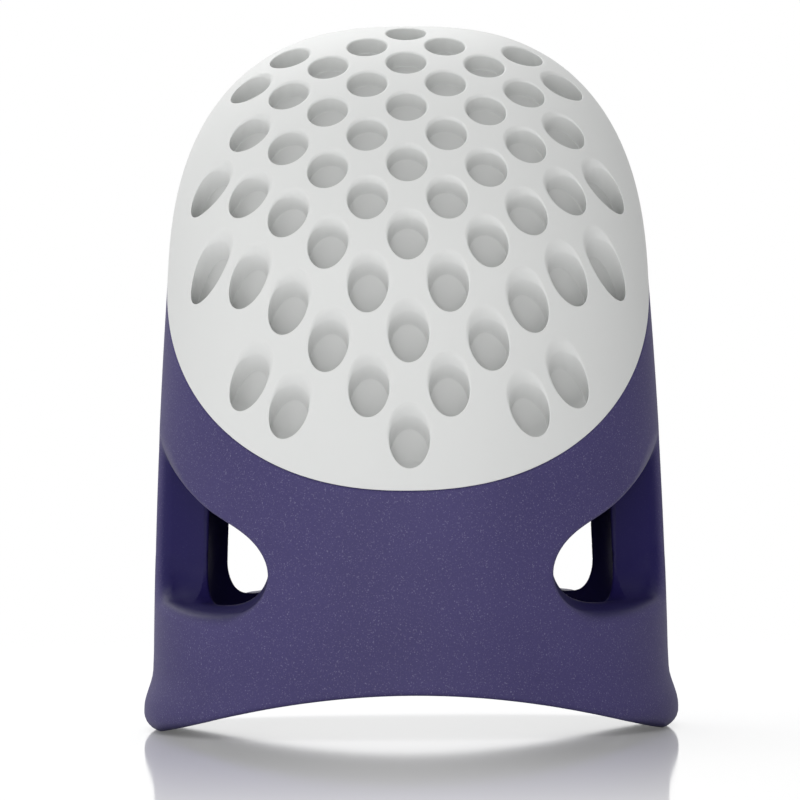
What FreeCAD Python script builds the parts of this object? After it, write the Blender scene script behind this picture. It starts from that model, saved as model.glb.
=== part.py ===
import FreeCAD, Part
import math
import os

# A thimble in two mouldings, in millimetres: a soft finger sleeve with four side vents,
# and a hard dimpled cap that is set into it over the front and the top of the finger.
# X runs across the finger, the dimpled front faces -Y, Z goes up from the two feet.

Vector = FreeCAD.Vector

# Outer form, measured from the floor and across the finger
total_height = 26.9
shoulder_height = 17.0
waist_height = 3.0
shoulder_width = 18.4
waist_width = 19.65
shoulder_depth = 16.3
side_bulge = 0.10
apex_setback = 1.2

# How square the curves are: 2 is an ellipse, more is fuller
plan_fullness = 2.25
side_fullness = 2.55
front_fullness = 1.75
back_fullness = 2.3

# Rolled rim and the arch between the two feet
lip_overhang = 0.375
lip_height = 1.0
lip_roll = 0.4
lip_round_height = 0.3
lip_round_roll = 0.13
cove_height = 1.9
cove_spread = 0.08
waist_spread = 0.01
cove_end = 4.5
foot_inset = 0.7
arch_rise = 1.65

# Walls
cap_thickness = 1.3
liner_thickness = 0.6
moulding_gap = 0.03

# Where the cap is set in: a slanting plane that starts low on the front
parting_front_height = 9.15
parting_tilt = 45.0

# Dimples, all made by pins that leave the mould in one direction
dimple_diameter = 1.5
dimple_depth = 0.7
seat_floor = 0.25
column_pitch = 1.48
row_pitch = 1.33
dimple_rows = 13
field_slack = 0.22
edge_margin = 1.35
pull_angle = 50.0

# Vents: points of the teardrop, each by its reach in from the side and its height
vent_peak_reach = 0.15
vent_peak_height = 10.75
vent_shoulder_reach = 2.37
vent_shoulder_height = 8.45
vent_neck_reach = 4.02
vent_neck_height = 7.27
vent_nose_reach = 4.55
vent_nose_height = 6.05
vent_chin_reach = 4.1
vent_chin_height = 5.02
vent_floor_reach = 2.24
vent_floor_height = 4.62
vent_exit_reach = 0.65
vent_exit_height = 5.1
vent_exit_rise = 2.2

# The strap left standing beside each pair of vents, from its skin to its inner side
strap_depth = 2.35
strap_front = 0.8
strap_back = 1.6
strap_front_inside = 2.05
strap_back_inside = 2.9
strap_hollow = 0.2

# Drawing aids
ring_points = 24
wall_rings = 5
dome_rings = 10
tip_crowding = 1.3
tip_slope = 0.8
past_edge = 1.0
far = 60.0

wall = cap_thickness + moulding_gap + liner_thickness
lip_width = waist_width + 2 * lip_overhang
arch_span = lip_width - 2 * foot_inset
taper = (waist_width - shoulder_width) / 2 / (shoulder_height - waist_height)
arch_radius = ((arch_span / 2) ** 2 + arch_rise ** 2) / (2 * arch_rise)


def swell(z):
    """How much wider than the shoulder the plain wall is at a height."""
    bow = (z - waist_height) / (shoulder_height - waist_height)
    bulge = 4 * side_bulge * bow * (1 - bow) if 0 < bow < 1 else 0.0
    return taper * (shoulder_height - z) + bulge


def fade(z, top, fullness):
    """Share of the full width that is left at a height in the dome."""
    rise = min(max((z - shoulder_height) / (top - shoulder_height), 0.0), 1.0)
    return (1 - rise ** fullness) ** (1 / fullness)


def front_reach(z, top, inset):
    """Distance of the front wall from the middle plane."""
    reach = shoulder_depth / 2 - inset + swell(z)
    return (reach + apex_setback) * fade(z, top, front_fullness) - apex_setback


def ring(z, top, inset, spread=0.0):
    """Closed curve round the body at a height, widened all round by the spread."""
    half = (shoulder_width / 2 - inset + swell(z)) * fade(z, top, side_fullness) + spread
    centre = apex_setback * (1 - fade(z, top, side_fullness))
    front = front_reach(z, top, inset) + spread + centre
    back_full = shoulder_depth / 2 - inset + swell(z) - apex_setback
    back = back_full * fade(z, top, back_fullness) + apex_setback + spread - centre
    points = []
    for i in range(ring_points):
        turn = 2 * math.pi * i / ring_points
        across, along = math.cos(turn), math.sin(turn)
        depth = back if along > 0 else front
        size = abs(across / half) ** plan_fullness + abs(along / depth) ** plan_fullness
        radius = size ** (-1 / plan_fullness)
        points.append(Vector(radius * across, centre + radius * along, z))
    curve = Part.BSplineCurve()
    steps = [i / ring_points for i in range(ring_points + 1)]
    curve.interpolate(Points=points, PeriodicFlag=True, Parameters=steps)
    return Part.Wire([curve.toShape()])


def finger_form(inset, rim=((-past_edge, 0.0),)):
    """Domed solid at one depth below the outer surface, from below the floor to the top."""
    top = total_height - inset
    rings = [ring(z, top, inset, spread) for z, spread in rim]
    start = rim[-1][0]
    for i in range(1, wall_rings):
        rings.append(ring(start + (shoulder_height - start) * i / wall_rings, top, inset))
    for i in range(dome_rings):
        turn = math.pi / 2 * (1 - (1 - i / dome_rings) ** tip_crowding)
        rise = math.sin(turn) ** tip_slope
        rings.append(ring(shoulder_height + (top - shoulder_height) * rise, top, inset))
    tip = Part.Vertex(0, apex_setback, top)
    return Part.makeLoft(rings + [tip], True, False)


def outer_form():
    """The whole outside, with the lip rolled under at the rim."""
    flare = (lip_width - waist_width) / 2 - taper * (waist_height - lip_height)
    rim = (
        (-past_edge, flare - lip_roll - past_edge),
        (0.0, flare - lip_roll),
        (lip_round_height, flare - lip_round_roll),
        (lip_height, flare),
        (cove_height, cove_spread),
        (waist_height, waist_spread),
        (cove_end, 0.0),
    )
    return finger_form(0.0, rim)


def below_rim():
    """All that lies under the arched rim and the floor."""
    slab = Part.makeBox(far, far, far, Vector(-far / 2, -far / 2, -far))
    middle = Vector(0, -far / 2, arch_rise - arch_radius)
    arch = Part.makeCylinder(arch_radius, far, middle, Vector(0, 1, 0))
    return slab.fuse(arch)


def above_parting(drop):
    """Half space over the parting plane, lowered by a gap."""
    tilt = math.radians(parting_tilt)
    start = Vector(0, -front_reach(parting_front_height, total_height, 0.0), parting_front_height)
    normal = Vector(0, -math.sin(tilt), math.cos(tilt))
    block = Part.makeBox(far, far, far, Vector(-far / 2, -far / 2, 0))
    block.rotate(Vector(0, 0, 0), Vector(1, 0, 0), parting_tilt)
    block.translate(start - normal * drop)
    return block


def pin_places():
    """Where each pin stands across the pull direction: sideways, then up the row."""
    angle = math.radians(pull_angle)
    start = -front_reach(parting_front_height, total_height, 0.0) * math.sin(angle)
    start += parting_front_height * math.cos(angle) + edge_margin
    half_rows = (dimple_rows - 1) / 2
    field_radius = half_rows * row_pitch + field_slack
    columns = int(field_radius / column_pitch)
    places = []
    for row in range(dimple_rows):
        up = (row - half_rows) * row_pitch
        for column in range(-columns, columns + 1):
            staggered = (row + column) % 2 == 0
            if staggered and math.hypot(column * column_pitch, up) < field_radius:
                places.append((column * column_pitch, start + row * row_pitch))
    return places


def dimple_pins():
    """What the pins keep out: an even depth, and never through the seat of the cap."""
    angle = math.radians(pull_angle)
    pull = Vector(0, -math.cos(angle), math.sin(angle))
    across = Vector(0, math.sin(angle), math.cos(angle))
    reach = front_reach(parting_front_height, total_height, 0.0)
    root = reach * math.cos(angle) + parting_front_height * math.sin(angle)
    floors = finger_form(dimple_depth)
    over_seat = above_parting(-seat_floor)
    pins = []
    for x, up in pin_places():
        foot = Vector(x, 0, 0) + across * up + pull * root
        pin = Part.makeCylinder(dimple_diameter / 2, total_height, foot, pull)
        pins += pin.cut(floors).common(over_seat).Solids
    return pins


def vent_outline():
    """Teardrop of a vent on the right side, seen from the front and open at the side."""
    marks = (
        (-past_edge, vent_peak_height + past_edge),
        (vent_peak_reach, vent_peak_height),
        (vent_shoulder_reach, vent_shoulder_height),
        (vent_neck_reach, vent_neck_height),
        (vent_nose_reach, vent_nose_height),
        (vent_chin_reach, vent_chin_height),
        (vent_floor_reach, vent_floor_height),
        (vent_exit_reach, vent_exit_height),
        (-past_edge, vent_exit_height + vent_exit_rise),
    )
    side = waist_width / 2
    curve = Part.BSplineCurve()
    curve.interpolate(Points=[Vector(side - reach, 0, height) for reach, height in marks])
    close = Part.LineSegment(curve.EndPoint, curve.StartPoint)
    return Part.Wire([curve.toShape(), close.toShape()])


def strap_face(at_skin, at_inside, way, past_inside):
    """Hollow arc of one face of the strap, run on past the skin and past its inner edge."""
    skin = waist_width / 2
    inside = skin - strap_depth
    middle = (skin + inside) / 2
    deep = (at_skin + at_inside) / 2 - strap_hollow
    marks = ((skin, at_skin), (middle, deep), (inside, at_inside))
    circle = Part.Arc(*[Vector(x, way * y, 0) for x, y in marks]).toShape().Curve
    ends = []
    for x in (skin + past_edge, middle, inside - past_inside):
        rise = math.sqrt(circle.Radius ** 2 - (x - circle.Center.x) ** 2)
        ends.append(Vector(x, circle.Center.y - way * rise, 0))
    return Part.Arc(*ends).toShape()


def strap_plan():
    """Plan of the right strap between its front and back vents."""
    front = strap_face(strap_front, strap_front_inside, -1, past_edge)
    back = strap_face(strap_back, strap_back_inside, 1, 0.0)
    corner = Vector(front.Vertexes[-1].X, strap_back_inside, 0)
    inner = Part.makeLine(front.Vertexes[-1].Point, corner)
    rear = Part.makeLine(corner, back.Vertexes[-1].Point)
    outer = Part.makeLine(back.Vertexes[0].Point, front.Vertexes[0].Point)
    return Part.Wire([front, inner, rear, back, outer])


def vents():
    """Cutters of the four vents: a teardrop run through front and back, less the strap."""
    drop = Part.Face(vent_outline()).extrude(Vector(0, far, 0))
    drop.translate(Vector(0, -far / 2, 0))
    strap = Part.Face(strap_plan()).extrude(Vector(0, 0, total_height))
    right = drop.cut(strap)
    left = right.mirror(Vector(0, 0, 0), Vector(1, 0, 0))
    return [right, left]


def hard_cap(outside):
    """Dimpled shield over the front and the top."""
    blank = outside.common(above_parting(0.0))
    shell = blank.cut(finger_form(cap_thickness))
    return shell.cut(dimple_pins())


def soft_sleeve(outside):
    """Finger sleeve with the liner under the cap, the vents and the arched rim."""
    seat = above_parting(moulding_gap).cut(finger_form(cap_thickness + moulding_gap))
    body = outside.cut(seat)
    body = body.cut(finger_form(wall))
    body = body.cut(below_rim())
    return body.cut(vents())


def main():
    os.makedirs("parts", exist_ok=True)
    outside = outer_form()
    for name, shape in (("hard_cap", hard_cap(outside)), ("soft_sleeve", soft_sleeve(outside))):
        pieces = shape.Solids
        print(name, "solids", len(pieces), "valid", shape.isValid(), "mm3", round(shape.Volume, 2))
        pieces[0].exportStep("parts/" + name + ".step")


main()
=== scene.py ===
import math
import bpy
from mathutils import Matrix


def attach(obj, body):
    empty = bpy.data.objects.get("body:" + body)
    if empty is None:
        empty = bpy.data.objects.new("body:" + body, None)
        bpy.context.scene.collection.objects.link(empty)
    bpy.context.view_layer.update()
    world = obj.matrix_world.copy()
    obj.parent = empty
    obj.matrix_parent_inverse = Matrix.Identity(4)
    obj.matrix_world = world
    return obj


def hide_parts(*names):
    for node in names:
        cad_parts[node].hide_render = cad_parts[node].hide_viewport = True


bl_info = {
    "name": "Dimpled thimble",
    "version": (1, 0, 0),
    "blender": (4, 5, 0),
    "location": "View3D > Sidebar > Thimble",
    "description": "Dresses the packed thimble with a dimpled cap, a rubber sleeve and a stage",
    "category": "Object",
}

import bmesh
import bpy
import numpy as np
from bpy.props import FloatProperty, FloatVectorProperty, IntProperty, PointerProperty
from mathutils import Vector
from mathutils.geometry import delaunay_2d_cdt
from mathutils.kdtree import KDTree

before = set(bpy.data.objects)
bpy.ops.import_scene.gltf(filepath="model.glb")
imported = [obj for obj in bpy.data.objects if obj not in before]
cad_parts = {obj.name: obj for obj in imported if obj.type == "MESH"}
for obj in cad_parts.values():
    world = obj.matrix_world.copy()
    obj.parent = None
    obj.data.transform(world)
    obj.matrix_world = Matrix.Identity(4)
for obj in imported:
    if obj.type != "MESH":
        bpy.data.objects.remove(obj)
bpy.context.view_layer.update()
MM = 0.001


def length(name, description, millimetres):
    """A length that a user may change, kept in metres."""
    return FloatProperty(name=name, description=description, default=millimetres * MM,
                         unit="LENGTH", precision=5)


def plain(name, description, value):
    """A number without a unit that a user may change."""
    return FloatProperty(name=name, description=description, default=value, precision=4)


def tint(name, description, value):
    """A colour that a user may change."""
    return FloatVectorProperty(name=name, description=description, default=value,
                               subtype="COLOR", size=3, min=0.0, max=1.0)


class FingerFormSettings(bpy.types.PropertyGroup):
    """Sizes of the finger shape that both mouldings share."""

    height: length("Height", "Floor to the top of the dome", 26.9)
    shoulder_height: length("Shoulder height", "Where the dome starts", 17.0)
    waist_height: length("Waist height", "Where the plain wall starts over the lip", 3.0)
    shoulder_width: length("Shoulder width", "Width where the dome starts", 18.4)
    waist_width: length("Waist width", "Width over the lip", 19.65)
    shoulder_depth: length("Shoulder depth", "Front to back where the dome starts", 16.3)
    side_bulge: length("Side bulge", "How far the side wall bows out", 0.10)
    apex_setback: length("Top set back", "How far the top lies behind the middle", 1.2)
    plan_fullness: plain("Plan fullness", "2 is an ellipse, more is squarer", 2.25)
    side_fullness: plain("Side fullness", "Fullness of the dome seen from the front", 2.55)
    front_fullness: plain("Front fullness", "Fullness of the front of the dome", 1.75)
    back_fullness: plain("Back fullness", "Fullness of the back of the dome", 2.3)


class CapSettings(bpy.types.PropertyGroup):
    """Sizes and finish of the hard dimpled cap."""

    thickness: length("Thickness", "Wall of the cap", 1.3)
    parting_height: length("Parting height", "Height of the parting line at the front", 9.15)
    parting_tilt: FloatProperty(name="Parting tilt", description="Slant of the parting plane",
                                default=math.radians(45.0), subtype="ANGLE")
    edge_round: length("Edge round", "Round on the edge at the parting line", 0.05)
    dimple_width: length("Dimple width", "Diameter of a pin of the mould", 1.5)
    dimple_depth: length("Dimple depth", "Depth of a floor under the skin", 0.7)
    seat_floor: length("Seat floor", "Least wall between a dimple and the seat", 0.25)
    column_pitch: length("Column pitch", "Sideways step of the dimples", 1.48)
    row_pitch: length("Row pitch", "Step of the dimples up the pull view", 1.33)
    rows: IntProperty(name="Rows", description="Rows of dimples", default=13)
    field_slack: length("Field slack", "What the round field has over its rows", 0.22)
    edge_margin: length("Edge margin", "Lowest row over the front edge", 1.35)
    pull_angle: FloatProperty(name="Pull angle", description="Slope of the way the pins leave",
                              default=math.radians(50.0), subtype="ANGLE")
    rim_crisp: length("Crisp rim", "Round of a rim where the wall is undercut", 0.05)
    rim_soft: length("Soft rim", "Round of a rim where the wall opens out", 0.17)
    rim_drop: length("Rim drop", "How far a soft rim runs down the wall", 0.45)
    floor_round: length("Floor round", "Round at the foot of a dimple wall", 0.05)
    rim_sides: IntProperty(name="Rim sides", description="Points round a dimple", default=40)
    spacing: length("Spacing", "Side of the triangles between the dimples", 0.3)
    colour: tint("Colour", "Matte white moulded plastic", (0.82, 0.83, 0.82))
    # Painted shade: share of the cap colour left on the dimple floors, darkened to stand for the
    # shadow deep in each dimple
    painted_shade_share: plain("Deep", "Share of the colour left at the foot of a dimple", 0.74)


class SleeveSettings(bpy.types.PropertyGroup):
    """Sizes and finish of the soft finger sleeve."""

    liner: length("Liner", "Wall that runs on under the cap", 0.6)
    seat_gap: length("Seat gap", "Room between the cap and its seat", 0.03)
    seat_round: length("Seat round", "Round on the edge of the seat", 0.05)
    lip_overhang: length("Lip overhang", "How far the lip stands out past the waist", 0.375)
    lip_height: length("Lip height", "Height of the widest place of the lip", 1.0)
    lip_fade: length("Lip fade", "Height where the flare of the lip has gone", 2.3)
    foot_inset: length("Foot inset", "Where the arch starts, in from the side", 0.7)
    arch_rise: length("Arch rise", "Height of the arch at the front", 1.65)
    foot_round: length("Foot round", "Round under the feet", 0.75)
    rim_round: length("Rim round", "Round on the arched edge at the front", 0.26)
    inner_round: length("Inner round", "Round on the inner edge of the rim", 0.3)
    front_lift: length("Front lift", "How far the floor of a front vent rises inwards", 0.26)
    back_lift: length("Back lift", "How much higher the back vents end below", 0.3)
    corner_round: length("Corner round", "Round in the low corners beside the strap", 1.5)
    vent_round: length("Vent round", "Round on the crisp edge of a vent", 0.12)
    scoop_round: length("Scoop round", "Round on the soft lower edge of a vent", 0.7)
    strap_depth: length("Strap depth", "Thickness of the strap between the vents", 2.35)
    strap_front: length("Strap front", "Front edge of the strap at the skin", 0.8)
    strap_back: length("Strap back", "Back edge of the strap at the skin", 1.6)
    strap_front_inside: length("Strap front inside", "Front edge inside", 2.05)
    strap_back_inside: length("Strap back inside", "Back edge inside", 3.3)
    strap_hollow: length("Strap hollow", "How far the faces of the strap are hollowed", 0.2)
    spacing: length("Spacing", "Side of the quads of the skin", 0.215)
    colour: tint("Colour", "Violet rubber with a fine blasted skin", (0.069, 0.058, 0.166))
    # Painted shade: this dark violet is laid on the vents and the inside of the sleeve where shadow
    # falls; the polish there shows only as lower roughness and no grain
    painted_shade_colour: tint("Smooth colour", "The same rubber where the mould is polished",
                        (0.010, 0.006, 0.078))
    speckle: tint("Speckle", "Pale specks in the rubber", (0.24, 0.23, 0.36))


class StageSettings(bpy.types.PropertyGroup):
    """Camera, lamps and floor."""

    distance: length("Distance", "Camera to the middle of the object", 210.0)
    eye_height: length("Eye height", "Height of the level camera", 12.52)
    side_step: length("Side step", "How far the camera stands to the left", 0.34)
    lean: FloatProperty(name="Lean", description="Roll of the camera",
                        default=math.radians(0.45), subtype="ANGLE")
    lens: plain("Lens", "Focal length in millimetres", 246.7)
    key: plain("Key", "Power of the wide lamp at the left", 0.12)
    fill: plain("Fill", "Power of the low lamp at the front", 0.56)
    top: plain("Top", "Power of the lamp above and behind", 0.58)
    left_dimming: plain("Left dimming", "How much darker the surround is at the left", 0.38)
    right_dimming: plain("Right dimming", "How much darker the surround is at the right", 0.76)
    front_dimming: plain("Front dimming", "How much darker it is high in front", 0.36)
    ambient: plain("Ambient", "Level of the white surround", 0.97)
    floor: tint("Floor", "Pale floor", (0.90, 0.90, 0.90))


# The teardrop of a vent: reach in from the side and height of each mark, in millimetres
VENT_MARKS = (
    (-1.0, 11.75),
    (0.15, 10.75),
    (2.37, 8.45),
    (4.02, 7.27),
    (4.55, 6.05),
    (4.1, 5.02),
    (2.24, 4.62),
    (0.65, 5.1),
    (-1.0, 7.3),
)

# The table of distances to that teardrop: its corner in from the side and up, its size and step
TABLE_INWARDS = 6.5 * MM
TABLE_LOW = 2.0 * MM
TABLE_SIZE = (8.0 * MM, 10.5 * MM)
TABLE_STEP = 0.03 * MM
POINTS_BETWEEN_MARKS = 24

# The part of the sleeve that holds the vents
VENTS_PAST = 4.0 * MM
VENTS_OVER = 2.5 * MM
VENTS_BELOW = 12.5 * MM

# Where the forms of the vents blend, each as a start and an end
FROM_MIDDLE = (0.0, 3.0 * MM)
PAST_NOSE = (5.4 * MM, 6.4 * MM)
THROUGH_WALL = (0.3 * MM, 1.5 * MM)
DOWN_TO_FLOOR = (-7.5 * MM, -5.5 * MM)
DOWN_TO_CORNER = (-8.2 * MM, -6.2 * MM)
DOWN_TO_EDGE = (-6.5 * MM, -5.1 * MM)
UP_TO_SKIN = (-1.5 * MM, -0.7 * MM)
OUT_TO_BAND = (5.4 * MM, 7.0 * MM)
OUT_TO_SIDE = (8.3 * MM, 9.4 * MM)
OUT_TO_FOOT = (7.5 * MM, 9.5 * MM)
BACK_BAND_SHIFT = 1.6 * MM
CRISP_CORNER = 0.05 * MM
BACK_END_MARGIN = 0.08 * MM
FRONT_END_MARGIN = 0.3 * MM
BACK_ARC_RUN_ON = 0.45 * MM
LARGEST_ARC_SHARE = 0.98

# The lip flares out up to this share of its height
FLARE_STAYS = 0.9

# How far the wall of a dimple opens out, as a cosine, where its rim turns soft and runs down
RIM_SOFTENS = (-0.45, 0.6)
RIM_RUNS_DOWN = (0.1, 0.75)

# Rings of a dimple: round the rim, down the wall, round the foot and over the floor
RIM_STEPS = 7
WALL_SHARES = (0.33, 0.67, 1.0)
FOOT_STEPS = 4
FLOOR_SHARES = (0.8, 0.55, 0.28)
LEAST_WALL = 0.01 * MM
# Painted shade down a dimple: it starts at this ring and is full this many rings further down
FIRST_PAINTED_SHADE_RING = 6
PAINTED_SHADE_RINGS = 5

# The flat map of the cap: the radius that turns lengths into angles, and its last angle
MAP_RADIUS = 10 * MM
MAP_LIMIT = 2.4

# Rings and points of the plain surfaces of both mouldings
EDGE_POINTS = 440
EDGE_STEPS = 4
CAP_EDGE_DEPTHS = (0.3 * MM, 0.8 * MM)
SEAT_DEPTHS = (0.4 * MM, 0.9 * MM)
INNER_EDGE_ROUND = 0.05 * MM
SEAT_RINGS = 14
INSIDE_RINGS = 26

# Rays are followed this far, and halved this often
SECTION_REACH = 30 * MM
CHORD_REACH = 40 * MM
PIN_REACH = 20 * MM
HALVINGS = 34

# The block that the sleeve is sampled in, in millimetres
BLOCK_LOW = (-10.6, -9.5, -0.4)
BLOCK_SIZE = (21.2, 19.0, 25.4)
BLOCK_PARTS = 12

# How far the sampled skin runs on past the parting plane, and how much of that is kept
RUN_ON = 1.0 * MM
RUN_ON_KEPT = 0.7 * MM

# Edges that bend more than this many degrees are split, down to this length
SHARP_BEND = 17
SHORT_EDGE = 0.08 * MM
SPLIT_ROUNDS = 3

# How far under the plain skin the rubber counts as smooth and takes the painted shade of the vents,
# as a start and an end
UNDER_SKIN = (0.03 * MM, 0.35 * MM)

# Place and side of each square lamp, in metres
LAMPS = {
    "key": ((-0.36, -0.12, 0.12), 0.24),
    "fill": ((-0.04, -0.38, 0.03), 0.22),
    "top": ((-0.06, 0.24, 0.32), 0.26),
}
LAMP_TARGET = (0.0, 0.0, 0.013)
HIGH_IN_FRONT = (0.0, -0.64, 0.77)
FLOOR_HALF = 3.0


def unit(vectors):
    """The same directions at length one."""
    return vectors / np.maximum(np.linalg.norm(vectors, axis=-1, keepdims=True), 1e-12)


def soft_step(value, start, end):
    """Goes from 0 at the start to 1 at the end without a corner."""
    t = np.clip((value - start) / (end - start), 0.0, 1.0)
    return t * t * (3 - 2 * t)


def round_max(a, b, radius):
    """The larger of two distances, with an edge of this radius where they meet."""
    edge = np.hypot(np.maximum(a + radius, 0.0), np.maximum(b + radius, 0.0))
    return np.minimum(np.maximum(a, b), -radius) + edge


def quarter(steps, first=0):
    """Angles of a quarter turn in equal steps."""
    return [math.pi / 2 * step / steps for step in range(first, steps + 1)]


def slope_of(level, points, step=0.002 * MM):
    """Gradient of a level at many points."""
    slope = np.empty_like(points)
    for axis in range(3):
        shift = np.zeros(3)
        shift[axis] = step
        slope[:, axis] = (level(points + shift) - level(points - shift)) / (2 * step)
    return slope


def cast(level, start, along, reach):
    """How far each ray goes from a place inside until it leaves."""
    near = np.zeros(len(start))
    far = np.full(len(start), reach)
    for _ in range(HALVINGS):
        middle = (near + far) / 2
        out = level(start + along * middle[:, None]) > 0
        far = np.where(out, middle, far)
        near = np.where(out, near, middle)
    return (near + far) / 2


def settle(points, level, rounds=3, most=0.12 * MM):
    """Points moved along the gradient until they lie on the level."""
    for _ in range(rounds):
        slope = slope_of(level, points)
        move = -slope * (level(points) / np.maximum((slope ** 2).sum(1), 1e-9))[:, None]
        size = np.linalg.norm(move, axis=1, keepdims=True)
        points = points + move * np.minimum(1.0, most / np.maximum(size, 1e-12))
    return points


class FingerForm:
    """The domed finger shape, at any depth under its skin."""

    def __init__(self, sizes):
        self.sizes = sizes
        self.rise = sizes.shoulder_height - sizes.waist_height
        self.taper = (sizes.waist_width - sizes.shoulder_width) / 2 / self.rise

    def swell(self, z):
        """How much wider than the shoulder the plain wall is."""
        bow = np.clip((z - self.sizes.waist_height) / self.rise, 0.0, 1.0)
        bulge = 4 * self.sizes.side_bulge * bow * (1 - bow)
        return self.taper * (self.sizes.shoulder_height - z) + bulge

    def fade(self, z, top, fullness):
        """Share of the width left at a height in the dome."""
        low = self.sizes.shoulder_height
        climb = np.clip((z - low) / (top - low), 0.0, 1.0)
        return (1 - climb ** fullness) ** (1 / fullness)

    def front(self, z, top, depth):
        """Distance of the front wall from the middle plane."""
        wall = self.sizes.shoulder_depth / 2 - depth + self.swell(z) + self.sizes.apex_setback
        return wall * self.fade(z, top, self.sizes.front_fullness) - self.sizes.apex_setback

    def level(self, points, depth=0.0, spread=0.0):
        """Below zero inside, zero on the skin at this depth, above zero outside."""
        sizes = self.sizes
        x, y, z = points.T
        top = sizes.height - depth
        side = self.fade(z, top, sizes.side_fullness)
        centre = sizes.apex_setback * (1 - side)
        half = (sizes.shoulder_width / 2 - depth + self.swell(z)) * side + spread
        ahead = self.front(z, top, depth) + spread + centre
        behind = sizes.shoulder_depth / 2 - depth + self.swell(z) - sizes.apex_setback
        behind = behind * self.fade(z, top, sizes.back_fullness) + sizes.apex_setback
        behind = behind + spread - centre
        reach = np.where(y > centre, behind, ahead)
        out = np.maximum(np.hypot(x, y - centre), 1e-9)
        power = sizes.plan_fullness
        across = (np.abs(x) / out / np.maximum(half, 1e-7)) ** power
        along = (np.abs(y - centre) / out / np.maximum(reach, 1e-7)) ** power
        return np.maximum(out - (across + along) ** (-1 / power), z - top)


class PartingPlane:
    """The slanting plane that the cap is set in on, and sections parallel to it."""

    def __init__(self, form, cap):
        self.form = form
        tilt = cap.parting_tilt
        front = form.front(np.array([cap.parting_height]), form.sizes.height, 0.0)[0]
        self.mark = np.array([0.0, -front, cap.parting_height])
        self.normal = np.array([0.0, -math.sin(tilt), math.cos(tilt)])
        self.uphill = np.array([0.0, math.cos(tilt), math.sin(tilt)])
        start = self.mark + self.uphill * 2 * MM
        chord = cast(form.level, start[None], self.uphill[None], CHORD_REACH)[0] + 2 * MM
        self.middle = self.mark + self.uphill * chord / 2

    def over(self, points):
        """Distance over the plane."""
        return (points - self.mark) @ self.normal

    def peak(self, depth):
        """The place that lies furthest over the plane, at a depth under the skin."""
        top = self.form.sizes.height - depth
        z = np.linspace(self.form.sizes.waist_height, top, 3000)
        line = np.stack([0 * z, -self.form.front(z, top, depth), z], 1)
        return line[np.argmax(self.over(line))]

    def section(self, turn, rise, depth):
        """Points of the skin at a depth, in the section at one height over the plane."""
        peak = self.peak(depth)
        middle = self.middle + (peak - self.middle) * (rise / self.over(peak))
        along = np.outer(np.cos(turn), [1.0, 0.0, 0.0]) + np.outer(np.sin(turn), self.uphill)
        start = np.broadcast_to(middle, along.shape)
        reach = cast(lambda points: self.form.level(points, depth), start, along, SECTION_REACH)
        return start + along * reach[:, None]

    def turns_of(self, points):
        """Angle of each point about the middle of the section."""
        arm = points - self.middle
        return np.arctan2(arm @ self.uphill, arm[:, 0])

    def dome(self, turn, start, depth, rings):
        """Rings from a section up to the peak, and the peak."""
        peak = self.peak(depth)
        span = self.over(peak) - start
        heights = [start + span * math.sin(math.pi / 2 * i / rings) for i in range(1, rings)]
        return [self.section(turn, height, depth) for height in heights], peak


class Skin:
    """Points and faces of one piece, gathered part by part."""

    def __init__(self):
        self.points = []
        self.normals = []
        self.inner = []
        self.faces = []
        self.count = 0

    # inner is the share of painted shade at the points; on the sleeve it also marks the smooth
    # rubber
    def add(self, points, normals=None, inner=1.0):
        """Adds points and gives their numbers; zero normals are worked out from the faces."""
        points = np.atleast_2d(points)
        self.points.append(points)
        self.inner.append(np.broadcast_to(inner, len(points)))
        self.normals.append(np.zeros_like(points) if normals is None else normals)
        self.count += len(points)
        return np.arange(self.count - len(points), self.count)

    def strip(self, first, second):
        """Closed band of quads from one ring to the next."""
        after, next_after = np.roll(first, -1), np.roll(second, -1)
        self.faces += np.stack([first, second, next_after, after], 1).tolist()

    def fan(self, ring, tip):
        """Closed band of triangles from a ring to one point."""
        self.faces += [[a, tip, b] for a, b in zip(ring.tolist(), np.roll(ring, -1).tolist())]

    def close(self, last, rings, tip, inner, inward=False):
        """Bands from ring to ring and a fan at the tip, with the inner share of each: how much
        painted shade it takes.
        """
        for ring, share in zip(rings, inner):
            after = self.add(ring, inner=share)
            self.strip(*((after, last) if inward else (last, after)))
            last = after
        self.fan(last[::-1] if inward else last, int(self.add(tip, inner=inner[-1])[0]))

    def mesh(self, name):
        """Blender mesh with smooth normals that are exact where they were given."""
        points = np.concatenate(self.points)
        given = np.concatenate(self.normals)
        mesh = bpy.data.meshes.new(name)
        mesh.from_pydata(points.tolist(), [], self.faces, shade_flat=False)
        mesh.validate()
        mesh.update()
        found = np.empty(len(points) * 3)
        mesh.vertices.foreach_get("normal", found)
        known = (given ** 2).sum(1) > 0.5
        normals = np.where(known[:, None], given, found.reshape(-1, 3))
        mesh.normals_split_custom_set_from_vertices(normals.tolist())
        # The inner attribute is the share of painted shade: down the dimples of the cap, and in the
        # vents and inside of the sleeve, where it also marks the smooth rubber
        mask = mesh.attributes.new("inner", "FLOAT", "POINT")
        mask.data.foreach_set("value", np.concatenate(self.inner).astype(np.float32))
        return mesh


def piece_of(mesh, node, finish):
    """Object that stands for a CAD node and rides with the body."""
    piece = bpy.data.objects.new(mesh.name, mesh)
    bpy.context.scene.collection.objects.link(piece)
    mesh.materials.append(finish)
    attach(piece, "root")
    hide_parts(node)


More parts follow.
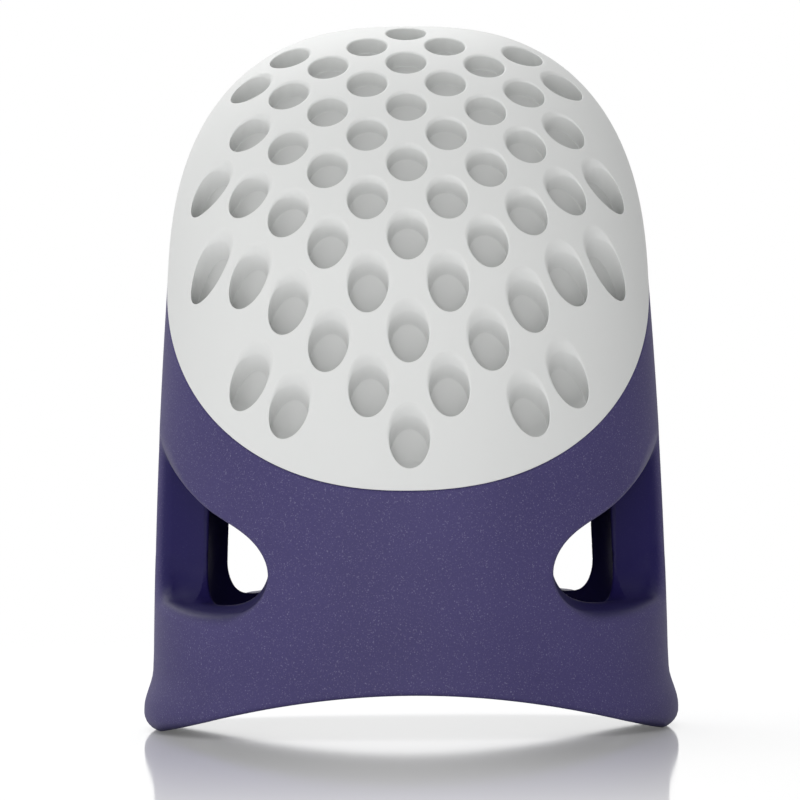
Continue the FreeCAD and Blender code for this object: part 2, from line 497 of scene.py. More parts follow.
class DimpleField:
    """The pins of the cap's mould, and the view along the way they leave it."""

    def __init__(self, form, plane, cap):
        self.form = form
        self.plane = plane
        self.cap = cap
        slope = cap.pull_angle
        self.side = np.array([1.0, 0.0, 0.0])
        self.up = np.array([0.0, math.sin(slope), math.cos(slope)])
        self.pull = np.array([0.0, -math.cos(slope), math.sin(slope)])
        self.centre = plane.middle

    def pins(self):
        """Place of each pin in the view along the pull."""
        cap = self.cap
        start = self.plane.mark @ self.up + cap.edge_margin
        half = (cap.rows - 1) / 2
        radius = half * cap.row_pitch + cap.field_slack
        columns = int(radius / cap.column_pitch)
        places = []
        for row in range(cap.rows):
            rise = (row - half) * cap.row_pitch
            for column in range(-columns, columns + 1):
                if (row + column) % 2 == 0 and math.hypot(column * cap.column_pitch, rise) < radius:
                    places.append((column * cap.column_pitch, start + row * cap.row_pitch))
        return places

    def height(self, flat, depth):
        """Height of the skin along the pull, over places in the view."""
        base = np.outer(flat[:, 0], self.side) + np.outer(flat[:, 1], self.up)

        def level(points):
            return self.form.level(points, depth)

        tries = self.centre @ self.pull + np.linspace(-4, 4, 17) * MM
        values = np.stack([level(base + self.pull * at) for at in tries])
        start = tries[np.argmin(values, 0)]
        return start + cast(level, base + self.pull * start[:, None],
                            np.broadcast_to(self.pull, base.shape), PIN_REACH)

    def floor(self, flat):
        """Height of the floors of the dimples, which never reach the seat."""
        base = np.outer(flat[:, 0], self.side) + np.outer(flat[:, 1], self.up)
        seat = (self.cap.seat_floor - self.plane.over(base)) / (self.pull @ self.plane.normal)
        return np.maximum(self.height(flat, self.cap.dimple_depth), seat)

    def place(self, flat, height):
        """Points in space from places in the view and their heights."""
        base = np.outer(flat[:, 0], self.side) + np.outer(flat[:, 1], self.up)
        return base + self.pull * height[:, None]

    def unroll(self, points):
        """Flat map of the cap: angle from the pull and turn about it."""
        arm = unit(points - self.centre)
        angle = np.arccos(np.clip(arm @ self.pull, -1, 1))
        turn = np.arctan2(arm @ self.up, arm @ self.side)
        return np.stack([angle * np.cos(turn), angle * np.sin(turn)], 1)

    def roll(self, flat):
        """Points of the skin from places on the flat map."""
        angle = np.linalg.norm(flat, axis=1)
        turn = np.arctan2(flat[:, 1], flat[:, 0])
        along = np.outer(np.cos(angle), self.pull)
        along += np.outer(np.sin(angle) * np.cos(turn), self.side)
        along += np.outer(np.sin(angle) * np.sin(turn), self.up)
        start = np.broadcast_to(self.centre, along.shape)
        return start + along * cast(self.form.level, start, along, SECTION_REACH)[:, None]

    def rim(self, flat, outward):
        """Round of a rim at places of the pin circle: its width and its drop."""
        cap = self.cap
        wall = -(np.outer(outward[:, 0], self.side) + np.outer(outward[:, 1], self.up))
        skin = unit(slope_of(self.form.level, self.place(flat, self.height(flat, 0.0))))
        opening = (wall * skin).sum(1)
        wide = cap.rim_crisp + (cap.rim_soft - cap.rim_crisp) * soft_step(opening, *RIM_SOFTENS)
        return wide, wide + (cap.rim_drop - cap.rim_soft) * soft_step(opening, *RIM_RUNS_DOWN)

    def rings(self, pin):
        """Rings of a dimple from its rim down to the middle of its floor."""
        cap = self.cap
        turn = np.arange(cap.rim_sides) / cap.rim_sides * 2 * math.pi
        circle = np.stack([np.cos(turn), np.sin(turn)], 1)
        radius, foot = cap.dimple_width / 2, cap.floor_round
        rim, drop = self.rim(pin + circle * radius, circle)
        made = []
        for bend in quarter(RIM_STEPS):
            flat = pin + circle * (radius + rim * (1 - math.sin(bend)))[:, None]
            made.append(self.place(flat, self.height(flat, 0.0) - drop * (1 - math.cos(bend))))
        flat = pin + circle * radius
        high = self.height(flat, 0.0) - drop
        low = np.minimum(self.floor(flat) + foot, high - LEAST_WALL)
        made += [self.place(flat, high + (low - high) * share) for share in WALL_SHARES]
        for bend in quarter(FOOT_STEPS, 1):
            flat = pin + circle * (radius - foot * (1 - math.cos(bend)))
            lift = foot * (1 - math.sin(bend))
            made.append(self.place(flat, np.minimum(self.floor(flat) + lift, low)))
        for share in FLOOR_SHARES:
            flat = pin + circle * (radius - foot) * share
            made.append(self.place(flat, self.floor(flat)))
        middle = np.array([pin])
        return made, self.place(middle, self.floor(middle))


def ground(plane, field, cap, rims, pins):
    """Even grid between the dimples, as places on the flat map and as points."""
    pitch = cap.spacing / MAP_RADIUS
    span = np.abs(rims).max()
    rows = np.arange(-span, span, pitch * math.sqrt(3) / 2)
    grid = [(x + (i % 2) * pitch / 2, y) for i, y in enumerate(rows)
            for x in np.arange(-span, span, pitch)]
    tree = KDTree(len(rims))
    for i, place in enumerate(rims):
        tree.insert((place[0], place[1], 0.0), i)
    tree.balance()
    grid = np.array([g for g in grid if math.hypot(*g) < MAP_LIMIT
                     and tree.find((g[0], g[1], 0.0))[2] > pitch * 0.5])
    points = field.roll(grid)
    view = np.stack([points @ field.side, points @ field.up], 1)
    nearest = pins[np.argmin(np.linalg.norm(view[:, None] - pins[None], axis=2), 1)]
    gap = np.linalg.norm(view - nearest, axis=1)
    outward, radius = unit(view - nearest), cap.dimple_width / 2
    wide, _ = field.rim(nearest + outward * radius, outward)
    keep = (plane.over(points) > cap.edge_round) & (gap > radius + wide)
    return grid[keep], points[keep]


def cap_skin(form, plane, field, cap):
    """The whole surface of the cap: dimpled skin, edge, seat face and inner dome."""
    skin = Skin()
    pins = np.array(field.pins())
    dimples = [field.rings(pin) for pin in pins]
    turn = np.arange(EDGE_POINTS) / EDGE_POINTS * 2 * math.pi
    edge = plane.section(turn, cap.edge_round, 0.0)
    loops = [rings[0] for rings, _ in dimples] + [edge]

    rims = np.concatenate([field.unroll(loop) for loop in loops])
    lines, start = [], 0
    for loop in loops:
        lines += [(start + i, start + (i + 1) % len(loop)) for i in range(len(loop))]
        start += len(loop)
    grid, between = ground(plane, field, cap, rims, pins)
    spots = np.concatenate([rims, grid])
    made = delaunay_2d_cdt([Vector(spot) for spot in spots], lines, [], 0, 1e-7, True)
    source = [origin[0] for origin in made[3]]
    points = np.concatenate(loops + [between])
    numbers = skin.add(points, unit(slope_of(form.level, points)), 0.0)
    loop_of = np.repeat(np.arange(len(loops)), [len(loop) for loop in loops])
    loop_of = np.concatenate([loop_of, np.full(len(grid), -1)])
    for face in made[2]:
        face = [source[i] for i in face]
        owners = {int(loop_of[i]) for i in face}
        if len(owners) == 1 and owners != {-1}:
            if owners != {len(loops) - 1}:
                continue
            centre = field.roll(spots[face].mean(0)[None])
            if plane.over(centre)[0] < cap.edge_round:
                continue
        skin.faces.append([int(numbers[i]) for i in face])

    start = 0
    for rings, floor in dimples:
        last = numbers[start:start + cap.rim_sides]
        start += cap.rim_sides
        # Painted shade: the share of darker colour rises ring by ring down the dimple wall and is
        # full on the floor
        inner = [min(max((i - FIRST_PAINTED_SHADE_RING) / PAINTED_SHADE_RINGS, 0.0), 1.0)
                 for i in range(1, len(rings) + 1)]
        skin.close(last, rings[1:], floor, inner, inward=True)

    last = numbers[start:start + len(edge)]
    around = cap.edge_round
    rings = [plane.section(turn, around * (1 - math.sin(bend)), around * (1 - math.cos(bend)))
             for bend in quarter(EDGE_STEPS, 1)]
    depths = (*CAP_EDGE_DEPTHS, cap.thickness - INNER_EDGE_ROUND)
    rings += [plane.section(turn, 0.0, depth) for depth in depths]
    rings.append(plane.section(turn, INNER_EDGE_ROUND, cap.thickness))
    inner, peak = plane.dome(turn, INNER_EDGE_ROUND, cap.thickness, SEAT_RINGS)
    rings += inner
    skin.close(last, rings, peak, [0.0] * (len(rings) + 1))
    return skin


class VentOutline:
    """Distance to the teardrop of a vent, looked up in a fine table."""

    def __init__(self, width):
        marks = np.array([(width / 2 - reach * MM, height * MM) for reach, height in VENT_MARKS])
        line = smooth_line(marks, POINTS_BETWEEN_MARKS)
        self.low = np.array([width / 2 - TABLE_INWARDS, TABLE_LOW])
        self.step = TABLE_STEP
        axes = [low + np.arange(int(size / self.step) + 1) * self.step
                for low, size in zip(self.low, TABLE_SIZE)]
        nodes = np.stack(np.meshgrid(*axes, indexing="ij"), -1).reshape(-1, 2)
        start, end = line, np.roll(line, -1, 0)
        best = np.full(len(nodes), 1.0)
        inside = np.zeros(len(nodes), bool)
        for a, b in zip(start, end):
            run = b - a
            arm = nodes - a
            share = np.clip(arm @ run / max(run @ run, 1e-18), 0, 1)
            best = np.minimum(best, np.linalg.norm(arm - share[:, None] * run, axis=1))
            crosses = (a[1] > nodes[:, 1]) != (b[1] > nodes[:, 1])
            if abs(run[1]) > 1e-12:
                at = a[0] + (nodes[:, 1] - a[1]) / run[1] * run[0]
                inside ^= crosses & (nodes[:, 0] < at)
        self.table = np.where(inside, -best, best).reshape(len(axes[0]), len(axes[1]))

    def level(self, x, z):
        """Below zero inside the teardrop."""
        at = (np.stack([x, z], 1) - self.low) / self.step
        limit = np.array(self.table.shape) - 1.001
        held = np.clip(at, 0, limit)
        low = held.astype(int)
        share = held - low
        i, j = low.T
        u, v = share.T
        table = self.table
        value = (table[i, j] * (1 - u) * (1 - v) + table[i + 1, j] * u * (1 - v)
                 + table[i, j + 1] * (1 - u) * v + table[i + 1, j + 1] * u * v)
        return value + np.linalg.norm(at - held, axis=1) * self.step


def smooth_line(marks, share):
    """Natural cubic curve through the marks, with this many points from mark to mark."""
    steps = np.linalg.norm(np.diff(marks, axis=0), axis=1)
    at = np.concatenate([[0.0], np.cumsum(steps)])
    count = len(marks)
    matrix = np.zeros((count, count))
    right = np.zeros(marks.shape)
    matrix[0, 0] = matrix[-1, -1] = 1.0
    for i in range(1, count - 1):
        before, after = steps[i - 1], steps[i]
        matrix[i, i - 1:i + 2] = before, 2 * (before + after), after
        right[i] = 6 * ((marks[i + 1] - marks[i]) / after - (marks[i] - marks[i - 1]) / before)
    bend = np.linalg.solve(matrix, right)
    line = []
    for i in range(count - 1):
        for t in np.linspace(at[i], at[i + 1], share, endpoint=False):
            a, b, h = at[i + 1] - t, t - at[i], steps[i]
            line.append(bend[i] * a ** 3 / (6 * h) + bend[i + 1] * b ** 3 / (6 * h)
                        + (marks[i] / h - bend[i] * h / 6) * a
                        + (marks[i + 1] / h - bend[i + 1] * h / 6) * b)
    return np.array(line + [marks[-1]])


def arc_through(a, b, c):
    """Centre and radius of the circle through three places."""
    (ax, ay), (bx, by), (cx, cy) = a, b, c
    d = 2 * (ax * (by - cy) + bx * (cy - ay) + cx * (ay - by))
    aa, bb, cc = ax * ax + ay * ay, bx * bx + by * by, cx * cx + cy * cy
    x = (aa * (by - cy) + bb * (cy - ay) + cc * (ay - by)) / d
    y = (aa * (cx - bx) + bb * (ax - cx) + cc * (bx - ax)) / d
    return x, y, math.hypot(ax - x, ay - y)


class SleeveBody:
    """The sleeve below the parting plane, as a distance that is below zero in the rubber."""

    def __init__(self, form, plane, cap, sleeve):
        self.form = form
        self.plane = plane
        self.sleeve = sleeve
        self.wall = cap.thickness + sleeve.seat_gap + sleeve.liner
        lip = form.sizes.waist_width / 2 + sleeve.lip_overhang
        plain_wall = form.sizes.shoulder_width / 2 + form.swell(np.array([sleeve.lip_height]))[0]
        self.flare = lip - plain_wall
        half = lip - sleeve.foot_inset
        self.arch_radius = (half ** 2 + sleeve.arch_rise ** 2) / (2 * sleeve.arch_rise)
        self.vent = VentOutline(form.sizes.waist_width)
        skin = form.sizes.waist_width / 2
        self.inside = skin - sleeve.strap_depth
        middle = (skin + self.inside) / 2
        self.back_end = sleeve.strap_back_inside + BACK_END_MARGIN
        self.front_end = sleeve.strap_front_inside - FRONT_END_MARGIN
        front = (sleeve.strap_front + sleeve.strap_front_inside) / 2 - sleeve.strap_hollow
        back = (sleeve.strap_back + sleeve.strap_back_inside) / 2 - sleeve.strap_hollow
        self.front_arc = arc_through((skin, sleeve.strap_front), (middle, front),
                                     (self.inside, sleeve.strap_front_inside))
        self.back_arc = arc_through((skin, sleeve.strap_back), (middle, back),
                                    (self.inside, sleeve.strap_back_inside))

    def past_arc(self, arc, low, x, y):
        """Distance past one face of the strap, seen in plan."""
        cx, cy, radius = arc
        held = np.clip(x - cx, low - cx, radius * LARGEST_ARC_SHARE)
        drop = np.sqrt(np.maximum(radius ** 2 - held ** 2, 0.0))
        return (y - (cy - drop)) * drop / radius

    def spread(self, z):
        """How far the lip flares out at a height."""
        sleeve = self.sleeve
        return self.flare * (1 - soft_step(z, FLARE_STAYS * sleeve.lip_height, sleeve.lip_fade))

    def void(self, points):
        """Below zero inside a vent."""
        x, y, z = points.T
        x = np.abs(x)
        front = self.past_arc(self.front_arc, self.inside, x, -y)
        back = self.past_arc(self.back_arc, self.inside - BACK_ARC_RUN_ON, x, y)
        front = np.maximum(front, -y - self.front_end)
        back = np.maximum(back, y - self.back_end)
        corner = CRISP_CORNER + self.sleeve.corner_round * soft_step(-z, *DOWN_TO_CORNER)
        back_lift = self.sleeve.back_lift * soft_step(y, *FROM_MIDDLE) * soft_step(x, *PAST_NOSE)
        under = soft_step(-self.form.level(points), *THROUGH_WALL)
        front_lift = self.sleeve.front_lift * under * soft_step(-y, *FROM_MIDDLE)
        lift = (back_lift + front_lift) * soft_step(-z, *DOWN_TO_FLOOR)
        return round_max(self.vent.level(x, z - lift), -np.maximum(front, back), corner)

    def vent_round(self, points):
        """Radius of the edges of the vents: crisp at the nose, soft below and at the side."""
        x, y, z = np.abs(points[:, 0]), points[:, 1], points[:, 2]
        skin = soft_step(self.form.level(points), *UP_TO_SKIN)
        shift = np.where(y < 0, 0.0, BACK_BAND_SHIFT)
        start, end = OUT_TO_BAND
        below = soft_step(-z, *DOWN_TO_EDGE) * soft_step(x, start + shift, end + shift)
        beside = soft_step(x, *OUT_TO_SIDE)
        soft = np.maximum(below, beside) * skin
        return self.sleeve.vent_round + (self.sleeve.scoop_round - self.sleeve.vent_round) * soft

    def level(self, points):
        """Below zero in the rubber."""
        sleeve = self.sleeve
        x, y, z = points.T
        outer = self.form.level(points, 0.0, self.spread(z))
        inner = -self.form.level(points, self.wall)
        arch = self.arch_radius - np.hypot(x, z - sleeve.arch_rise + self.arch_radius)
        below = np.maximum(-z, arch)
        foot = soft_step(np.abs(x), *OUT_TO_FOOT)
        around = sleeve.rim_round + (sleeve.foot_round - sleeve.rim_round) * foot
        shell = np.maximum(round_max(outer, below, around),
                           round_max(inner, below, sleeve.inner_round))
        near = (np.abs(x) > VENTS_PAST) & (z > VENTS_OVER) & (z < VENTS_BELOW)
        value = shell.copy()
        some = points[near]
        value[near] = round_max(shell[near], -self.void(some), self.vent_round(some))
        return value


def surface_net(values, low, step):
    """Quads between the inside and the outside of a sampled level, and their corners."""
    cells = tuple(np.array(values.shape) - 1)
    sums = np.zeros((int(np.prod(cells)), 3))
    hits = np.zeros(len(sums))
    axes = np.eye(3, dtype=int)
    quads = []
    for axis in range(3):
        first = values[tuple(slice(0, -1) if i == axis else slice(None) for i in range(3))]
        second = values[tuple(slice(1, None) if i == axis else slice(None) for i in range(3))]
        at = np.argwhere((first < 0) != (second < 0))
        start, end = first[tuple(at.T)], second[tuple(at.T)]
        place = at + axes[axis] * (start / (start - end))[:, None]
        side, up = axes[(axis + 1) % 3], axes[(axis + 2) % 3]
        around = []
        for cell in (at - side - up, at - up, at, at - side):
            number = np.ravel_multi_index(tuple(cell.T), cells)
            for i in range(3):
                sums[:, i] += np.bincount(number, place[:, i], len(sums))
            hits += np.bincount(number, minlength=len(sums))
            around.append(number)
        quad = np.stack(around, 1)
        quads.append(np.where(start[:, None] < 0, quad, quad[:, ::-1]))
    quads = np.concatenate(quads)
    used, quads = np.unique(quads, return_inverse=True)
    corners = sums[used] / hits[used][:, None]
    return low + corners * step, quads.reshape(-1, 4)


def relax(points, edges, level, rounds):
    """Evens out the triangles without leaving the skin."""
    count = np.maximum(np.bincount(edges.ravel(), minlength=len(points)), 1)[:, None]
    for _ in range(rounds):
        middle = np.zeros_like(points)
        for i in range(3):
            middle[:, i] += np.bincount(edges[:, 0], points[edges[:, 1], i], len(points))
            middle[:, i] += np.bincount(edges[:, 1], points[edges[:, 0], i], len(points))
        move = middle / count - points
        normal = unit(slope_of(level, points))
        move -= normal * (move * normal).sum(1, keepdims=True)
        points = settle(points + move * 0.5, level, 1)
    return points


def mesh_arrays(bm):
    """Points and edges of a bmesh."""
    bm.verts.index_update()
    points = np.array([v.co[:] for v in bm.verts], dtype=float) * MM
    edges = np.array([[v.index for v in e.verts] for e in bm.edges])
    return points, edges


def sampled_quads(plane, body, step):
    """Corners and quads of the sleeve's skin, from a block of samples."""
    low = np.array(BLOCK_LOW) * MM
    size = (np.array(BLOCK_SIZE) * MM / step).astype(int) + 1
    axes = [low[i] + np.arange(size[i]) * step for i in range(3)]
    nodes = np.stack(np.meshgrid(*axes, indexing="ij"), -1).reshape(-1, 3)
    values = np.concatenate([body.level(part) for part in np.array_split(nodes, BLOCK_PARTS)])
    values = np.maximum(values, plane.over(nodes) - RUN_ON)
    points, quads = surface_net(values.reshape(size), low, step)
    quads = quads[(plane.over(points)[quads] < RUN_ON_KEPT).all(1)]
    used, quads = np.unique(quads, return_inverse=True)
    return settle(points[used], body.level), quads.reshape(-1, 4)


def split_bends(bm, points, edges, level):
    """Splits the edges that bend sharply, so that crisp edges stay crisp."""
    normal = unit(slope_of(level, points))
    first, second = edges.T
    bend = np.degrees(np.arccos(np.clip((normal[first] * normal[second]).sum(1), -1, 1)))
    reach = np.linalg.norm(points[first] - points[second], axis=1)
    tight = (bend > SHARP_BEND) & (reach > SHORT_EDGE)
    bm.edges.ensure_lookup_table()
    bmesh.ops.subdivide_edges(bm, edges=[bm.edges[i] for i in np.flatnonzero(tight)], cuts=1)
    bmesh.ops.triangulate(bm, faces=[f for f in bm.faces if len(f.verts) > 3])


def body_triangles(plane, body, sleeve):
    """Points and triangles up to the seat's edge, and the numbers of the points on it."""
    points, quads = sampled_quads(plane, body, sleeve.spacing)

    # The bmesh works in millimetres, so that its small fixed limits do no harm
    bm = bmesh.new()
    made = [bm.verts.new(p) for p in (points / MM).tolist()]
    for quad in quads.tolist():
        bm.faces.new([made[i] for i in quad])
    bmesh.ops.triangulate(bm, faces=bm.faces[:], quad_method="SHORT_EDGE")
    for turn in range(SPLIT_ROUNDS + 1):
        points, edges = mesh_arrays(bm)
        points = relax(points, edges, body.level, 4 if turn == 0 else 2)
        for vertex, place in zip(bm.verts, (points / MM).tolist()):
            vertex.co = place
        if turn < SPLIT_ROUNDS:
            split_bends(bm, points, edges, body.level)
    cut = plane.mark - plane.normal * (sleeve.seat_gap + sleeve.seat_round)
    bmesh.ops.bisect_plane(bm, geom=bm.verts[:] + bm.edges[:] + bm.faces[:], dist=1e-4,
                           plane_co=Vector(cut / MM), plane_no=Vector(plane.normal),
                           clear_outer=True)
    bmesh.ops.triangulate(bm, faces=[f for f in bm.faces if len(f.verts) > 3])
    points, _ = mesh_arrays(bm)
    border = np.array(sorted({v.index for e in bm.edges if e.is_boundary for v in e.verts}))
    faces = [[v.index for v in f.verts] for f in bm.faces]
    bm.free()
    return points, faces, border


def sleeve_skin(form, plane, body, sleeve):
    """The whole surface of the sleeve."""
    points, faces, border = body_triangles(plane, body, sleeve)
    outer = np.abs(form.level(points[border])) < np.abs(form.level(points[border], body.wall))
    start = -(sleeve.seat_gap + sleeve.seat_round)
    rings = []
    for loop, depth in ((border[outer], 0.0), (border[~outer], body.wall)):
        turn = plane.turns_of(points[loop])
        order = np.argsort(turn)
        loop, turn = loop[order], turn[order]
        points[loop] = plane.section(turn, start, depth)
        rings.append((loop, turn))

    skin = Skin()
    # Share of painted shade and smooth rubber: none on the plain skin, full a little way into the
    # vents
    under = -form.level(points, 0.0, body.spread(points[:, 2]))
    smooth_and_painted_shade = soft_step(under, *UNDER_SKIN)
    skin.add(points, unit(slope_of(body.level, points)), smooth_and_painted_shade)
    skin.faces = faces
    seat = body.wall - sleeve.liner
    (last, turn), (mouth, mouth_turn) = rings
    around = sleeve.seat_round
    made = [plane.section(turn, start + around * math.sin(bend), around * (1 - math.cos(bend)))
            for bend in quarter(EDGE_STEPS, 1)]
    made += [plane.section(turn, -sleeve.seat_gap, depth) for depth in (*SEAT_DEPTHS, seat)]
    dome, peak = plane.dome(turn, -sleeve.seat_gap, seat, SEAT_RINGS)
    made += dome
    skin.close(last, made, peak, [0.0] * len(made) + [1.0], inward=True)
    dome, peak = plane.dome(mouth_turn, start, body.wall, INSIDE_RINGS)
    # The inside of the sleeve takes the full painted shade
    skin.close(mouth, dome, peak, [1.0] * (len(dome) + 1))
    return skin


class Wire:
    """A socket that does sums: an expression on wires adds the Math nodes it needs."""

    def __init__(self, finish, socket):
        self.finish = finish
        self.socket = socket

    def sum(self, operation, *values):
        return self.finish.add("ShaderNodeMath", {"operation": operation}, *values)

    def __add__(self, other):
        return self.sum("ADD", self, other)

    def __radd__(self, other):
        return self.sum("ADD", other, self)

    def __sub__(self, other):
        return self.sum("SUBTRACT", self, other)

    def __rsub__(self, other):
        return self.sum("SUBTRACT", other, self)

    def __mul__(self, other):
        return self.sum("MULTIPLY", self, other)

    def __rmul__(self, other):
        return self.sum("MULTIPLY", other, self)

    def at_least(self, other):
        return self.sum("MAXIMUM", self, other)


class Finish:
    """A material, or the world, that is being made."""

    def __init__(self, owner):
        self.owner = owner
        owner.use_nodes = True
        self.tree = owner.node_tree
        self.tree.nodes.clear()

    def add(self, kind, settings, *values, output=0, **named):
        """Adds any node: its settings first, then the values or wires of its sockets."""
        node = self.tree.nodes.new(kind)
        for key, value in settings.items():
            if key == "stops":
                while len(node.color_ramp.elements) < len(value):
                    node.color_ramp.elements.new(1.0)
                for element, (place, shade) in zip(node.color_ramp.elements, value):
                    element.position = place
                    element.color = (shade, shade, shade, 1.0)
            else:
                setattr(node, key, value)
        pairs = list(enumerate(values))
        pairs += [(key.replace("_", " "), value) for key, value in named.items()]
        for key, value in pairs:
            if isinstance(value, Wire):
                self.tree.links.new(value.socket, node.inputs[key])
            else:
                node.inputs[key].default_value = value
        return Wire(self, node.outputs[output])

    def noise(self, place, scale, detail, roughness):
        """Random pattern over the object."""
        return self.add("ShaderNodeTexNoise", {}, Vector=place, Scale=scale, Detail=detail,
                        Roughness=roughness)

    def mix(self, share, first, second):
        """Colour between two colours or wires."""
        node = self.tree.nodes.new("ShaderNodeMix")
        node.data_type = "RGBA"
        for number, value in ((0, share), (6, first), (7, second)):
            socket = node.inputs[number]
            if isinstance(value, Wire):
                self.tree.links.new(value.socket, socket)
            else:
                socket.default_value = value if isinstance(value, float) else (*value, 1.0)
        return Wire(self, node.outputs[2])

    def done(self, surface, kind="ShaderNodeOutputMaterial"):
        """Sends a shader to the output."""
        output = self.tree.nodes.new(kind)
        self.tree.links.new(surface.socket, output.inputs["Surface"])
        return self.owner


def shaded(colour, share):
    """The same colour, darker or lighter."""
    return tuple(part * share for part in colour)


def cap_finish(cap):
    """Matte white moulded plastic with the fine spark texture of its mould, and painted shade down
    the dimples.
    """
    make = Finish(bpy.data.materials.new("cap_plastic"))
    place = make.add("ShaderNodeTexCoord", {}, output="Object")
    grain = make.noise(place, 9000.0, 2.0, 0.6)
    cloud = make.noise(place, 260.0, 3.0, 0.5)
    # Painted shade: the dimples turn darker towards their floors
    inner = make.add("ShaderNodeAttribute", {"attribute_name": "inner"}, output="Fac")
    skin = make.mix(cloud * 0.5, tuple(cap.colour), shaded(cap.colour, 0.965))
    colour = make.mix(inner, skin, shaded(cap.colour, cap.painted_shade_share))
    bump = make.add("ShaderNodeBump", {}, Strength=0.10, Distance=0.02 * MM, Height=grain)
    surface = make.add("ShaderNodeBsdfPrincipled", {}, Base_Color=colour,
                       Roughness=0.50 + 0.10 * grain, IOR=1.46, Normal=bump)
    return make.done(surface)


def sleeve_finish(sleeve):
    """Satin rubber with a fine pale speckle and a dry skin, and painted shade in the vents and
    inside.
    """
    make = Finish(bpy.data.materials.new("sleeve_rubber"))
    place = make.add("ShaderNodeTexCoord", {}, output="Object")
    inner = make.add("ShaderNodeAttribute", {"attribute_name": "inner"}, output="Fac")
    fleck = make.noise(place, 19000.0, 1.0, 0.5)
    speck = make.add("ShaderNodeValToRGB", {"stops": ((0.60, 0.0), (0.74, 1.0))}, Fac=fleck)
    grain = make.noise(place, 11000.0, 3.0, 0.7)
    cloud = make.noise(place, 180.0, 2.0, 0.5)
    shade = 0.5 * cloud + 0.5 * grain
    skin = make.mix(shade, shaded(sleeve.colour, 0.70), shaded(sleeve.colour, 1.30))
    skin = make.mix(speck * 0.55, skin, tuple(sleeve.speckle))
    # Painted shade: the vents and the inside turn a darker violet where shadow falls; they also
    # lose the grain and are less rough
    colour = make.mix(inner * 0.92, skin, tuple(sleeve.painted_shade_colour))
    bump = make.add("ShaderNodeBump", {}, Strength=0.35, Distance=0.02 * MM,
                    Height=grain * (1 - inner))
    surface = make.add("ShaderNodeBsdfPrincipled", {}, Base_Color=colour,
                       Roughness=0.46 + 0.20 * grain - 0.08 * inner, IOR=1.45,
                       Specular_IOR_Level=0.22, Normal=bump)
    return make.done(surface)


def floor_finish(stage):
    """Pale floor that the camera and reflections see as white, with the shadow kept."""
    make = Finish(bpy.data.materials.new("pale_floor"))
    seen = make.add("ShaderNodeLightPath", {}, output="Is Camera Ray")
    place = make.add("ShaderNodeTexCoord", {}, output="Object")
    away = make.add("ShaderNodeVectorMath", {"operation": "LENGTH"}, place, output="Value")
    far = make.add("ShaderNodeMapRange", {"interpolation_type": "SMOOTHSTEP"}, Value=away,
                   From_Min=16.0 * MM, From_Max=80.0 * MM)
    near = make.add("ShaderNodeBsdfPrincipled", {}, Base_Color=(*stage.floor, 1.0), Roughness=0.07,
                    Emission_Color=(1.0, 1.0, 1.0, 1.0), Emission_Strength=seen * 0.12)
    white = make.add("ShaderNodeEmission", {}, Color=(1.0, 1.0, 1.0, 1.0), Strength=1.0)
    surface = make.add("ShaderNodeMixShader", {}, far * seen, near, white)
    return make.done(surface)


class THIMBLE_OT_cap(bpy.types.Operator):
    """Makes the dimpled cap"""

    bl_idname = "thimble.cap"
    bl_label = "Dimpled cap"

    def execute(self, context):
        scene = context.scene
        form = FingerForm(scene.thimble_form)
        plane = PartingPlane(form, scene.thimble_cap)
        field = DimpleField(form, plane, scene.thimble_cap)
        mesh = cap_skin(form, plane, field, scene.thimble_cap).mesh("dimpled_cap")
        piece_of(mesh, "hard_cap", cap_finish(scene.thimble_cap))
        return {"FINISHED"}


class THIMBLE_OT_sleeve(bpy.types.Operator):
    """Makes the finger sleeve with its vents"""

    bl_idname = "thimble.sleeve"
    bl_label = "Finger sleeve"

    def execute(self, context):
        scene = context.scene
        form = FingerForm(scene.thimble_form)
        plane = PartingPlane(form, scene.thimble_cap)
        body = SleeveBody(form, plane, scene.thimble_cap, scene.thimble_sleeve)
        mesh = sleeve_skin(form, plane, body, scene.thimble_sleeve).mesh("finger_sleeve")
        piece_of(mesh, "soft_sleeve", sleeve_finish(scene.thimble_sleeve))
        return {"FINISHED"}


def lamp(name, place, target, size, power):
    """Square soft lamp that looks at a place."""
    light = bpy.data.lights.new(name, "AREA")
    light.size = size
    light.energy = power
    holder = bpy.data.objects.new(name, light)
    holder.location = place
    holder.rotation_euler = (Vector(target) - Vector(place)).to_track_quat("-Z", "Y").to_euler()
    bpy.context.scene.collection.objects.link(holder)


def surround(stage):
    """White to the camera; as light it is dimmer at the sides and high in front."""
    make = Finish(bpy.data.worlds.new("surround"))
    way = make.add("ShaderNodeTexCoord", {}, output="Generated")
    across = make.add("ShaderNodeSeparateXYZ", {}, way, output="X")
    pull = make.add("ShaderNodeVectorMath", {"operation": "DOT_PRODUCT"}, way, HIGH_IN_FRONT,
                    output="Value")
    right = across.at_least(0.0)
    left = (0.0 - across).at_least(0.0)
    high = pull.at_least(0.0)
    sides = 1.0 - stage.right_dimming * right - stage.left_dimming * left
    lit = stage.ambient * sides * (1.0 - stage.front_dimming * high * high)
    seen = make.add("ShaderNodeLightPath", {}, output="Is Camera Ray")
    glass = make.add("ShaderNodeLightPath", {}, output="Is Transmission Ray")
    white = seen.at_least(glass)
    glow = make.add("ShaderNodeBackground", {}, Color=(1.0, 1.0, 1.0, 1.0),
                    Strength=lit * (1.0 - white) + white)
    return make.done(glow, "ShaderNodeOutputWorld")


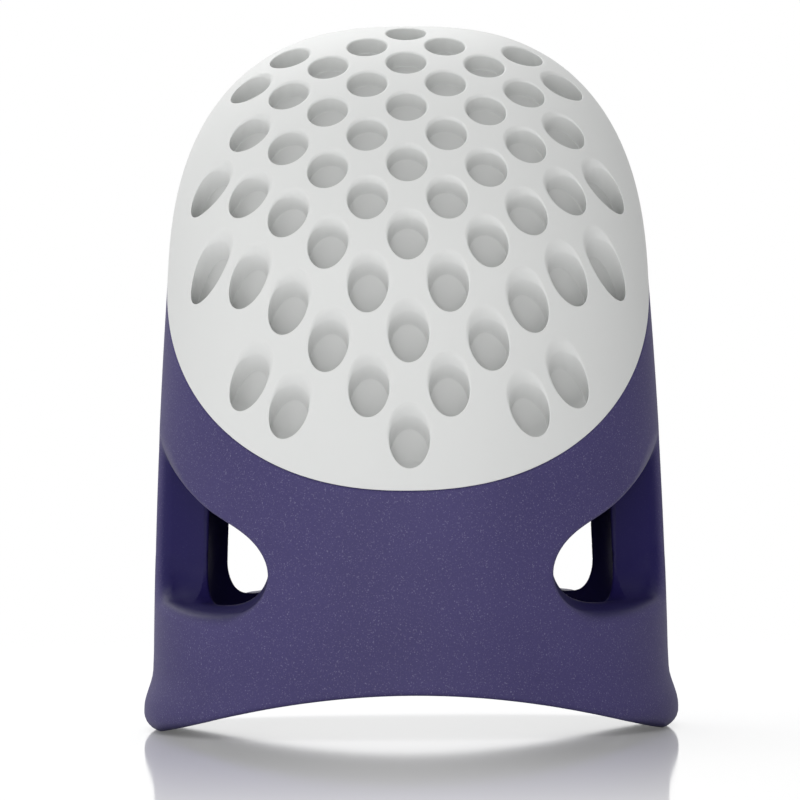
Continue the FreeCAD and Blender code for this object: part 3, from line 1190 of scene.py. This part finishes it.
class THIMBLE_OT_stage(bpy.types.Operator):
    """Makes the floor, the lamps and the camera"""

    bl_idname = "thimble.stage"
    bl_label = "Stage"

    def execute(self, context):
        scene = context.scene
        stage = scene.thimble_stage
        mesh = bpy.data.meshes.new("floor")
        half = FLOOR_HALF
        corners = [(-half, -half, 0), (half, -half, 0), (half, half, 0), (-half, half, 0)]
        mesh.from_pydata(corners, [], [(0, 1, 2, 3)])
        mesh.materials.append(floor_finish(stage))
        floor = bpy.data.objects.new("floor", mesh)
        scene.collection.objects.link(floor)

        for name, (place, size) in LAMPS.items():
            lamp(name, place, LAMP_TARGET, size, getattr(stage, name))
        scene.world = surround(stage)

        camera = bpy.data.cameras.new("camera")
        camera.lens = stage.lens
        camera.clip_start = 0.005
        camera.clip_end = 20.0
        holder = bpy.data.objects.new("camera", camera)
        holder.location = (-stage.side_step, -stage.distance, stage.eye_height)
        holder.rotation_euler = (math.pi / 2, stage.lean, 0.0)
        scene.collection.objects.link(holder)
        scene.camera = holder
        scene.view_settings.view_transform = "Standard"
        return {"FINISHED"}


class THIMBLE_PT_panel(bpy.types.Panel):
    """Steps that make the thimble"""

    bl_idname = "THIMBLE_PT_panel"
    bl_label = "Thimble"
    bl_space_type = "VIEW_3D"
    bl_region_type = "UI"
    bl_category = "Thimble"

    def draw(self, context):
        for operator in OPERATORS:
            self.layout.operator(operator.bl_idname)


OPERATORS = (THIMBLE_OT_stage, THIMBLE_OT_cap, THIMBLE_OT_sleeve)
SETTINGS = (
    ("thimble_form", FingerFormSettings),
    ("thimble_cap", CapSettings),
    ("thimble_sleeve", SleeveSettings),
    ("thimble_stage", StageSettings),
)


def register():
    for name, group in SETTINGS:
        bpy.utils.register_class(group)
        setattr(bpy.types.Scene, name, PointerProperty(type=group))
    for kind in OPERATORS + (THIMBLE_PT_panel,):
        bpy.utils.register_class(kind)


def unregister():
    for kind in reversed(OPERATORS + (THIMBLE_PT_panel,)):
        bpy.utils.unregister_class(kind)
    for name, group in reversed(SETTINGS):
        delattr(bpy.types.Scene, name)
        bpy.utils.unregister_class(group)


def main():
    register()
    bpy.ops.thimble.stage()
    bpy.ops.thimble.cap()
    bpy.ops.thimble.sleeve()


if __name__ == "__main__":
    main()
